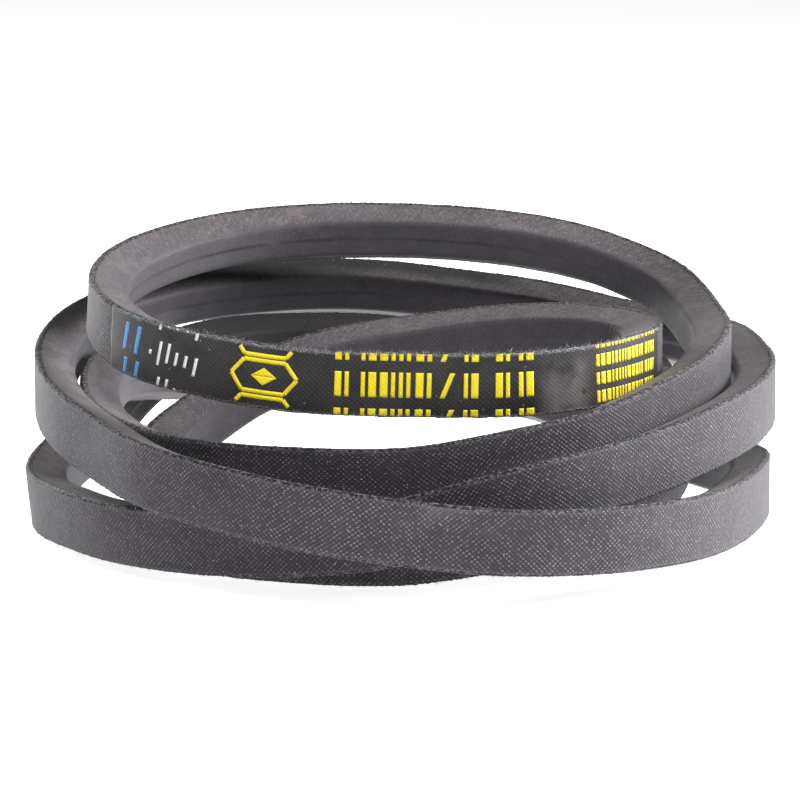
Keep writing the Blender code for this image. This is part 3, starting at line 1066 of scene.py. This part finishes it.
def floor_material():
    shader = Shader("studio_floor")
    shader.finish("Base Color", (0.93, 0.93, 0.93, 1))
    shader.finish("Emission Color", (1, 1, 1, 1))
    shader.finish("Emission Strength", FLOOR_GLOW)
    shader.finish("Roughness", 0.7)
    shader.finish("Specular IOR Level", 0.1)
    return shader.material


# ---------------------------------------- camera, floor and lights

AIM = (SHIFT + np.array([0, 0, AIM_HEIGHT])) * MM


def make_camera():
    data = bpy.data.cameras.new("studio_camera")
    data.lens = CAMERA_LENS
    data.sensor_width = 36
    data.sensor_fit = "HORIZONTAL"
    data.clip_start, data.clip_end = 0.05, 50
    camera = bpy.data.objects.new("studio_camera", data)
    bpy.context.scene.collection.objects.link(camera)
    reach = np.array([0, -math.cos(CAMERA_ELEVATION), math.sin(CAMERA_ELEVATION)])
    camera.location = AIM + CAMERA_DISTANCE * reach
    camera.rotation_euler = (math.pi / 2 - CAMERA_ELEVATION, 0, 0)
    bpy.context.scene.camera = camera


def make_floor():
    mesh = bpy.data.meshes.new("studio_floor")
    wide = FLOOR_HALF
    corners = [(-wide, -wide, 0), (wide, -wide, 0), (wide, wide, 0), (-wide, wide, 0)]
    mesh.from_pydata(corners, [], [(0, 1, 2, 3)])
    floor = bpy.data.objects.new("studio_floor", mesh)
    floor.location.z = -FLOOR_DROP
    bpy.context.scene.collection.objects.link(floor)
    mesh.materials.append(floor_material())


def make_light(name, place, aim, size, power):
    data = bpy.data.lights.new(name, "AREA")
    data.shape = "RECTANGLE"
    data.size, data.size_y = size
    data.energy = power
    light = bpy.data.objects.new(name, data)
    bpy.context.scene.collection.objects.link(light)
    light.location = place
    direction = np.array(place) - np.array(aim)
    flat = math.hypot(direction[0], direction[1])
    light.rotation_euler = (math.atan2(flat, direction[2]), 0, math.atan2(direction[0], -direction[1]))


def make_world():
    """White behind the object, and a dimmer even light on it."""
    world = bpy.data.worlds.new("studio_world")
    world.use_nodes = True
    tree = world.node_tree
    background = tree.nodes["Background"]
    background.inputs["Color"].default_value = (1, 1, 1, 1)
    background.inputs["Strength"].default_value = WORLD_LIGHT
    seen = tree.nodes.new("ShaderNodeBackground")
    seen.inputs["Color"].default_value = (1, 1, 1, 1)
    seen.inputs["Strength"].default_value = 1.0
    path = tree.nodes.new("ShaderNodeLightPath")
    mix = tree.nodes.new("ShaderNodeMixShader")
    tree.links.new(path.outputs["Is Camera Ray"], mix.inputs[0])
    tree.links.new(background.outputs[0], mix.inputs[1])
    tree.links.new(seen.outputs[0], mix.inputs[2])
    tree.links.new(mix.outputs[0], tree.nodes["World Output"].inputs["Surface"])
    bpy.context.scene.world = world
    bpy.context.scene.view_settings.view_transform = "Standard"


make_camera()
make_floor()
make_world()
make_light("softbox_left", (-0.62, 0.82, 0.26), AIM, (0.4, 0.35), 11)
make_light("softbox_right", (0.92, 0.3, 0.4), AIM, (0.5, 0.35), 24)
make_light("softbox_front", (0.1, -0.6, 0.9), AIM, (0.6, 0.5), 12)

# ---------------------------------------- the pieces

COVER = cover_material()
for turn in range(TURNS):
    cover_turn(turn, COVER)

edge_fibres(fibre_material())

INKS = {
    "yellow": ink_material("label_ink_yellow", rgb(246, 226, 22), rgb(226, 200, 30)),
    "white": ink_material("label_ink_white", rgb(240, 240, 242), rgb(205, 205, 210)),
    "blue": ink_material("label_ink_blue", rgb(84, 158, 226), rgb(52, 118, 184)),
}
label(film_material(), INKS)

FINISHES = {
    "tension_rubber": rubber_material("tension_rubber", rgb(30, 30, 31), rgb(46, 45, 47)),
    "adhesion_rubber": rubber_material("adhesion_rubber", rgb(52, 47, 43), rgb(66, 60, 55)),
    "compression_rubber": rubber_material("compression_rubber", rgb(28, 28, 29), rgb(44, 43, 45)),
}
CORD = cord_material()
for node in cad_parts:
    solid = bpy.data.objects.get(node)
    if solid is None:
        continue
    finish = CORD if node.startswith("tension_cord") else FINISHES.get(node)
    if finish is not None:
        solid.data.materials.clear()
        solid.data.materials.append(finish)
